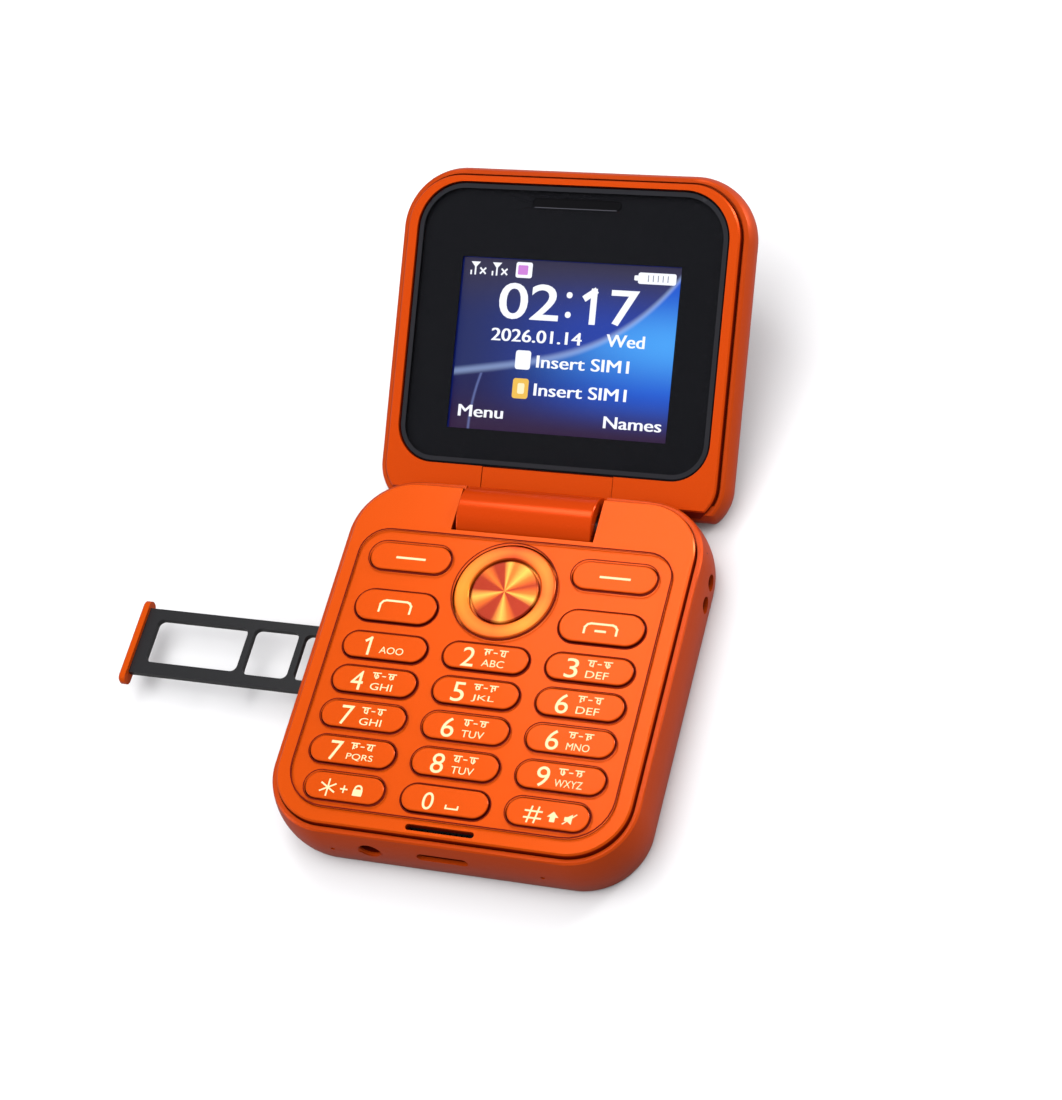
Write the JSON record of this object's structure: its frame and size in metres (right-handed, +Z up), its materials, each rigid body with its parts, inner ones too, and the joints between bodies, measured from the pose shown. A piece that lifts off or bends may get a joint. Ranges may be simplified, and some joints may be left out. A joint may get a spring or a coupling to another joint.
{
  "type": "flip phone",
  "caption": "Square flip phone, lid open, with raised keypad keys, a rocking navigation ring, a turned hinge barrel and a card tray pulled out of the base.",
  "frame": {"origin": "on the table plane at the middle of the underside of the base", "axes": "+X to the phone's right, +Y from the front edge towards the hinge and the open lid, +Z up out of the keypad"},
  "size_m": [0.103, 0.1245, 0.0337],
  "materials": {
    "case_paint": "satin orange paint",
    "cover_paint": "satin orange paint",
    "key_paint": "satin orange paint with cream legends",
    "gold": "gold anodised, turned",
    "black_plastic": "matte black",
    "dark_plastic": "matte dark grey",
    "silicone": "matte grey silicone",
    "board": "green solder mask",
    "domes": "bright steel",
    "steel": "satin steel",
    "battery_wrap": "printed foil wrap",
    "screen": "lit colour display",
    "lens_glass": "clear, polished",
    "lens_ink": "gloss black print",
    "foam": "matte black adhesive foam",
    "mesh": "dark woven mesh",
    "flex": "amber film",
    "magnet": "nickel plated"
  },
  "bodies": {
    "base": {"base_rear_case": "case_paint", "base_front_cover": "cover_paint", "keypad_plate": "cover_paint", "keypad_mat": "silicone", "dome_sheet": "domes", "keypad_board": "board", "board_frame": "dark_plastic", "main_board": "board", "battery": "battery_wrap", "headphone_jack": "black_plastic", "usb_port": "steel", "microphone": "black_plastic", "loudspeaker": "dark_plastic", "speaker_mesh": "mesh", "vibration_motor": "steel", "card_reader": "steel", "case_screws": "steel", "hinge_pin": "steel", "hinge_cam_pin": "steel"},
    "lid": {"lid_rear_case": "case_paint", "lid_front_bezel": "cover_paint", "hinge_neck": "cover_paint", "hinge_barrel": "cover_paint", "hinge_cartridge": "steel", "flex_cable": "flex", "display_lens": "lens_glass", "lens_print": "lens_ink", "lens_gasket": "foam", "display_panel": "screen", "display_frame": "steel", "lid_board": "board", "earpiece": "dark_plastic", "earpiece_mesh": "mesh", "lid_magnet": "magnet", "lid_screws": "steel"},
    "card_tray_body": {"card_tray": "black_plastic", "card_tray_cap": "cover_paint"},
    "nav_pad_body": {"nav_pad": "silicone"},
    "nav_ring_body": {"nav_ring": "gold"},
    "nav_button_body": {"nav_button": "gold"},
    "soft_key_left_body": {"soft_key_left": "key_paint"},
    "soft_key_right_body": {"soft_key_right": "key_paint"},
    "call_key_body": {"call_key": "key_paint"},
    "end_key_body": {"end_key": "key_paint"},
    "key_1_body": {"key_1": "key_paint"},
    "key_2_body": {"key_2": "key_paint"},
    "key_3_body": {"key_3": "key_paint"},
    "key_4_body": {"key_4": "key_paint"},
    "key_5_body": {"key_5": "key_paint"},
    "key_6_body": {"key_6": "key_paint"},
    "key_extra_left_body": {"key_extra_left": "key_paint"},
    "key_extra_middle_body": {"key_extra_middle": "key_paint"},
    "key_extra_right_body": {"key_extra_right": "key_paint"},
    "key_7_body": {"key_7": "key_paint"},
    "key_8_body": {"key_8": "key_paint"},
    "key_9_body": {"key_9": "key_paint"},
    "key_star_body": {"key_star": "key_paint"},
    "key_0_body": {"key_0": "key_paint"},
    "key_hash_body": {"key_hash": "key_paint"}
  },
  "joints": [
    {"name": "lid_hinge", "type": "hinge", "parent": "base", "child": "lid", "pos_m": [0, 0.02892, 0.00903], "axis": [1, 0, 0], "range_deg": [0, 152]},
    {"name": "card_tray_slide", "type": "slide", "parent": "base", "child": "card_tray_body", "axis": [1, 0, 0], "range_m": [-0.008, 0.0364]},
    {"name": "nav_rock_front_back", "type": "hinge", "parent": "base", "child": "nav_pad_body", "pos_m": [0, 0.013, 0.01125], "axis": [1, 0, 0], "range_deg": [-1.5, 1.5], "stiffness_Nm_per_rad": 0.05},
    {"name": "nav_rock_left_right", "type": "hinge", "parent": "nav_pad_body", "child": "nav_ring_body", "pos_m": [0, 0.013, 0.01125], "axis": [0, 1, 0], "range_deg": [-1.5, 1.5], "stiffness_Nm_per_rad": 0.05},
    {"name": "nav_button_press", "type": "slide", "parent": "base", "child": "nav_button_body", "axis": [0, 0, -1], "range_m": [0, 0.0003], "stiffness_N_per_m": 400},
    {"name": "soft_key_left_press", "type": "slide", "parent": "base", "child": "soft_key_left_body", "axis": [0, 0, -1], "range_m": [0, 0.0003], "stiffness_N_per_m": 400},
    {"name": "soft_key_right_press", "type": "slide", "parent": "base", "child": "soft_key_right_body", "axis": [0, 0, -1], "range_m": [0, 0.0003], "stiffness_N_per_m": 400},
    {"name": "call_key_press", "type": "slide", "parent": "base", "child": "call_key_body", "axis": [0, 0, -1], "range_m": [0, 0.0003], "stiffness_N_per_m": 400},
    {"name": "end_key_press", "type": "slide", "parent": "base", "child": "end_key_body", "axis": [0, 0, -1], "range_m": [0, 0.0003], "stiffness_N_per_m": 400},
    {"name": "key_1_press", "type": "slide", "parent": "base", "child": "key_1_body", "axis": [0, 0, -1], "range_m": [0, 0.0003], "stiffness_N_per_m": 400},
    {"name": "key_2_press", "type": "slide", "parent": "base", "child": "key_2_body", "axis": [0, 0, -1], "range_m": [0, 0.0003], "stiffness_N_per_m": 400},
    {"name": "key_3_press", "type": "slide", "parent": "base", "child": "key_3_body", "axis": [0, 0, -1], "range_m": [0, 0.0003], "stiffness_N_per_m": 400},
    {"name": "key_4_press", "type": "slide", "parent": "base", "child": "key_4_body", "axis": [0, 0, -1], "range_m": [0, 0.0003], "stiffness_N_per_m": 400},
    {"name": "key_5_press", "type": "slide", "parent": "base", "child": "key_5_body", "axis": [0, 0, -1], "range_m": [0, 0.0003], "stiffness_N_per_m": 400},
    {"name": "key_6_press", "type": "slide", "parent": "base", "child": "key_6_body", "axis": [0, 0, -1], "range_m": [0, 0.0003], "stiffness_N_per_m": 400},
    {"name": "key_extra_left_press", "type": "slide", "parent": "base", "child": "key_extra_left_body", "axis": [0, 0, -1], "range_m": [0, 0.0003], "stiffness_N_per_m": 400},
    {"name": "key_extra_middle_press", "type": "slide", "parent": "base", "child": "key_extra_middle_body", "axis": [0, 0, -1], "range_m": [0, 0.0003], "stiffness_N_per_m": 400},
    {"name": "key_extra_right_press", "type": "slide", "parent": "base", "child": "key_extra_right_body", "axis": [0, 0, -1], "range_m": [0, 0.0003], "stiffness_N_per_m": 400},
    {"name": "key_7_press", "type": "slide", "parent": "base", "child": "key_7_body", "axis": [0, 0, -1], "range_m": [0, 0.0003], "stiffness_N_per_m": 400},
    {"name": "key_8_press", "type": "slide", "parent": "base", "child": "key_8_body", "axis": [0, 0, -1], "range_m": [0, 0.0003], "stiffness_N_per_m": 400},
    {"name": "key_9_press", "type": "slide", "parent": "base", "child": "key_9_body", "axis": [0, 0, -1], "range_m": [0, 0.0003], "stiffness_N_per_m": 400},
    {"name": "key_star_press", "type": "slide", "parent": "base", "child": "key_star_body", "axis": [0, 0, -1], "range_m": [0, 0.0003], "stiffness_N_per_m": 400},
    {"name": "key_0_press", "type": "slide", "parent": "base", "child": "key_0_body", "axis": [0, 0, -1], "range_m": [0, 0.0003], "stiffness_N_per_m": 400},
    {"name": "key_hash_press", "type": "slide", "parent": "base", "child": "key_hash_body", "axis": [0, 0, -1], "range_m": [0, 0.0003], "stiffness_N_per_m": 400}
  ]
}
